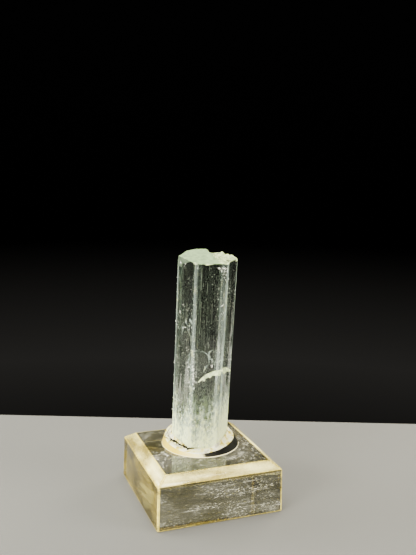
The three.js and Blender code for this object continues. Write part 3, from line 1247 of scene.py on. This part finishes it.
def makeBlock():
    startFresh()
    sideHeight = block["height"] - block["foot"] - block["bevelDrop"]
    bpy.ops.mesh.primitive_cube_add(size=1, location=(0, 0, (block["foot"] + sideHeight / 2) * mm))
    piece = nameNew("acrylicBlock")
    piece.scale = (block["width"] * mm, block["width"] * mm, sideHeight * mm)
    applyPlace()
    edit(piece)
    topWidth = block["width"] - 2 * sideHeight * math.tan(math.radians(block["draft"]))
    selectFaces(piece, lambda f: f.normal.z > 0.9)
    resizeLevel(topWidth / block["width"])
    bpy.ops.mesh.extrude_region_move(TRANSFORM_OT_translate={"value": (0, 0, block["bevelDrop"] * mm)})
    resizeLevel((topWidth - 2 * block["bevelRun"]) / topWidth)
    bpy.ops.mesh.select_mode(type="EDGE")
    selectEdges(piece, lambda a, b: abs(a.z - b.z) > 1 * mm)
    bpy.ops.mesh.bevel(offset=block["cornerRadius"] * mm, offset_type="OFFSET", segments=4)
    leaveEdit()
    pick(piece)
    bpy.ops.object.shade_smooth()
    applyModifier(piece, "BEVEL", "edge", width=block["edgeRound"] * mm, segments=3, limit_method="ANGLE",
                  angle_limit=math.radians(25), harden_normals=True)
    piece.data.materials.append(acrylic)
    hand(piece, "clear_acrylic", "acrylic_base")
    return piece


def makeAcrylic():
    # cast acrylic gone yellow with age: clear across, and straw-coloured along its length
    material, add = newMaterial("castAcrylic")
    shader = add("BsdfPrincipled", {
        "Base Color": hexColour("#fffdf2"),
        "Roughness": 0.03,
        "IOR": block["refraction"],
        "Transmission Weight": 1.0,
    })
    tint = add("VolumeAbsorption", {"Color": hexColour(block["tint"]), "Density": block["density"]})
    add("OutputMaterial", None, {"Surface": shader, "Volume": tint})
    return material


# handling marks on the acrylic, and the patterns of the painted glow and shade on its bevels, ends and
# edges, given in the same way as the etching
# real dust and scratches are finer than 0.1 mm and wouldn't show, so these are drawn coarser

acrylicPatterns = {
    "patches": (11.0, (1, 1, 2.5), 5.0, 0.35, 0.7),
    "grain": (0.38, (0.7, 0.7, 1.2), 4.0, 0.35, 0.75),
    "specks": (0.25, (0.5, 0.5, 1.25), 3.0, 0.6, 0.7),
    "lines": (0.7, (0.12, 0.12, 2.8), 3.0, 0.6, 0.74),
    "bands": (3.0, (0.25, 0.25, 1.4), 4.0, 0.38, 0.64),
}


def makeDustAndLightCoat(name, light, dark, coverAmount, grain, dust, scratches):
    # acrylic coat: a cover that is faint haze on the top and sides, painted glow on the bevels, ends and
    # rounded edges, and painted shade on the lips, with dust specks and long fine scratches, as marks on
    # its clear face
    material, add = newMaterial(name)
    fields = addFields(add, acrylicPatterns, add("TexCoord").outputs["Object"])
    cloudy = add("Math.MULTIPLY_ADD", {1: 0.5, 2: 0.1}, {0: fields["patches"]})
    mottle = add("Math.MULTIPLY_ADD", {1: grain}, {0: fields["grain"], 2: cloudy})
    cover = add("Math.MULTIPLY", {1: coverAmount}, {0: mottle})
    lines = add("Math.MULTIPLY", {1: scratches}, {0: fields["lines"]})
    marks = add("Math.MULTIPLY_ADD", {1: dust}, {0: fields["specks"], 2: lines})
    gathered = add("Math.MULTIPLY_ADD", {1: 0.9, 2: 0.1}, {0: fields["bands"]})
    amount = add("Math.MULTIPLY_ADD", None, {0: marks, 1: gathered, 2: cover})
    alpha = add("Math.MINIMUM", {1: 0.95}, {0: amount})
    streaked = add("Math.MULTIPLY_ADD", {1: 0.5}, {0: fields["bands"], 2: cloudy})
    tone = add("ValToRGB", None, {0: streaked})
    setRamp(tone, ((0.2, dark), (0.8, light)))
    finish = {"Roughness": 0.22, "IOR": block["refraction"]}
    shader = add("BsdfPrincipled", finish, {"Base Color": tone, "Alpha": alpha})
    add("OutputMaterial", None, {"Surface": shader})
    return material


acrylic = makeAcrylic()
blockPiece = makeBlock()


def blockPart(f):
    # which part of the block a face belongs to; the strips of its rounded edges are all under 6 mm2
    wide = f.calc_area() > 6 * mm * mm
    if f.normal.z < -0.9:
        return "under"
    if f.normal.z > 0.98:
        return "top"
    if wide and f.normal.z > 0.6:
        return "bevel"
    if wide:
        return "side" if abs(f.normal.y) > 0.9 else "end"
    if 0.08 < f.normal.z < 0.5 and abs(f.normal.y) > 0.8:
        return "lip"
    return "edge"


blockCoats = {  # part of the block, then its finish: name, light and dark tone, cover, grain, dust, scratches
    "blockTopDust": ("top", "dustyAcrylicTop", "#f0ecd8", "#8d8a6c", 0.05, 0.5, 0.65, 0.25),
    "blockSideScuffs": ("side", "scuffedAcrylicSide", "#f4f0d8", "#8f8b70", 0.05, 0.5, 0.6, 0.4),
    # the ends' olive-yellow is painted glow, over dust and scratches
    "blockEndDustAndGlow": ("end", "yellowedAcrylicEnd", "#c9b255", "#7d6e33", 0.2, 0.5, 0.35, 0.25),
    # the bevels' cream is painted glow, as light caught inside the clear acrylic
    "blockBevelPaintedGlow": ("bevel", "sandedAcrylicBevel", "#fff3a2", "#b39f50", 2.0, 0.15, 0.2, 0.4),
    # the rounded edges' bright yellow is a painted highlight
    "blockEdgeShine": ("edge", "roundedAcrylicEdge", "#f6e272", "#bfa94c", 1.1, 0.5, 0.3, 0.3),
    "blockLipShade": ("lip", "shadedAcrylicEdge", "#5d5432", "#2c2818", 1.9, 0.5, 0.2, 0.2),
}

for name, (part, *finish) in blockCoats.items():
    skin = makeSkin(blockPiece, name, lambda f: blockPart(f) == part, block["coat"], makeDustAndLightCoat(*finish))
    hand(skin, "clear_acrylic")
print("base made")


studio = {
    "floorSize": (156, 112, 3),  # mm
    "floorCentre": (-1.5, -5.5),
    "floorDrop": 0.03,  # the block stands on it with air between
    "floorTone": "#5f5e5a",
    "lamps": (  # place and size in mm, watts, colour, and whether the faces mirror it
        ("overhead", (-40, 10, 330), 240, 3.2, "#fffdf0", True),
        ("frontLeft", (-290, -160, 110), 150, 3.3, "#fffdf2", True),
        ("frontRight", (230, -190, 150), 120, 1.6, "#fffdf2", False),
        ("backRight", (260, 150, 90), 150, 1.8, "#fff7e2", False),
        ("backLeft", (-250, 150, 90), 150, 1.9, "#fbfff6", False),
    ),
    "sky": ((0.0, "#020202"), (0.28, "#020202"), (0.36, "#262523"), (0.44, "#010101"), (0.7, "#050505"),
            (0.9, "#bdbdb8"), (1.0, "#d8d8d2")),
}


def makeStudio():
    startFresh()
    x, y = studio["floorCentre"]
    z = -(studio["floorSize"][2] / 2 + studio["floorDrop"])
    turn = -math.radians(cameraSet["heading"])
    bpy.ops.mesh.primitive_cube_add(size=1, location=(x * mm, y * mm, z * mm), rotation=(0, 0, turn))
    floor = nameNew("floor")
    floor.scale = [side * mm for side in studio["floorSize"]]
    applyPlace()
    material, add = newMaterial("paleCard")
    tone = hexColour(studio["floorTone"])
    shader = add("BsdfPrincipled", {"Base Color": tone, "Roughness": 0.7})
    add("OutputMaterial", None, {"Surface": shader})
    floor.data.materials.append(material)
    for name, place, size, power, colour, mirrored in studio["lamps"]:
        bpy.ops.object.light_add(type="AREA", location=Vector(place) * mm)
        light = bpy.context.object
        light.name = name
        light.data.shape = "SQUARE"
        light.data.size = size * mm
        light.data.energy = power
        light.visible_transmission = False  # glass shows the room behind it, not the lamps
        light.visible_glossy = mirrored
        light.data.color = hexColour(colour)[:3]
        aim = Vector((0, 0, 30)) * mm - light.location
        light.rotation_euler = aim.to_track_quat("-Z", "Y").to_euler()
    world = bpy.data.worlds.new("studio")
    bpy.context.scene.world = world
    world.use_nodes = True
    world.node_tree.nodes.clear()
    add = partial(addNode, world.node_tree)
    place = add("TexCoord")
    parts = add("SeparateXYZ", None, {0: place.outputs["Generated"]})
    height = add("MapRange", {1: -1.0, 2: 1.0}, {0: parts.outputs[2]})
    sky = add("ValToRGB", None, {0: height})
    setRamp(sky, studio["sky"])
    shine = add("Background", {"Strength": 1.0}, {"Color": sky})
    add("OutputWorld", None, {"Surface": shine})


makeStudio()
print("studio set")
